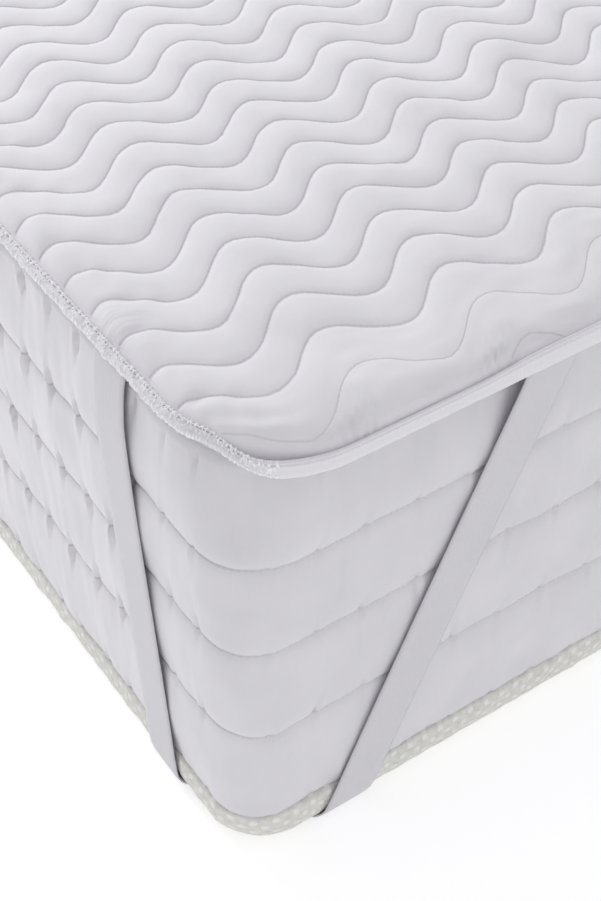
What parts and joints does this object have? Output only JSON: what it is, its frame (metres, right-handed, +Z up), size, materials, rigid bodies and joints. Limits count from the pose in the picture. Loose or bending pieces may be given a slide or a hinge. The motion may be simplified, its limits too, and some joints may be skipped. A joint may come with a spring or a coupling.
{
  "type": "quilted mattress protector on a mattress",
  "caption": "Rectangular quilted pad with wavy channels and a bound edge, held on a deep mattress by elastic straps that cross under its corners",
  "frame": {"origin": "middle of the overall bounding box in plan, on the surface that the mattress lies on", "axes": "X along the mattress's length, Y across its width, Z up through the pad"},
  "size_m": [1.9122, 0.9122, 0.3145],
  "materials": {
    "quilted_cotton": "matt cotton, quilted",
    "binding_tape": "soft overlocked tape",
    "elastic_webbing": "ribbed woven elastic",
    "mattress_ticking": "smooth knitted ticking",
    "base_fabric": "matt, finely dotted"
  },
  "bodies": {
    "root": {"quilted_pad": "quilted_cotton", "edge_binding": "binding_tape", "corner_strap_1": "elastic_webbing", "corner_strap_2": "elastic_webbing", "corner_strap_3": "elastic_webbing", "corner_strap_4": "elastic_webbing", "mattress_body": "mattress_ticking", "mattress_base": "base_fabric"}
  },
  "joints": []
}
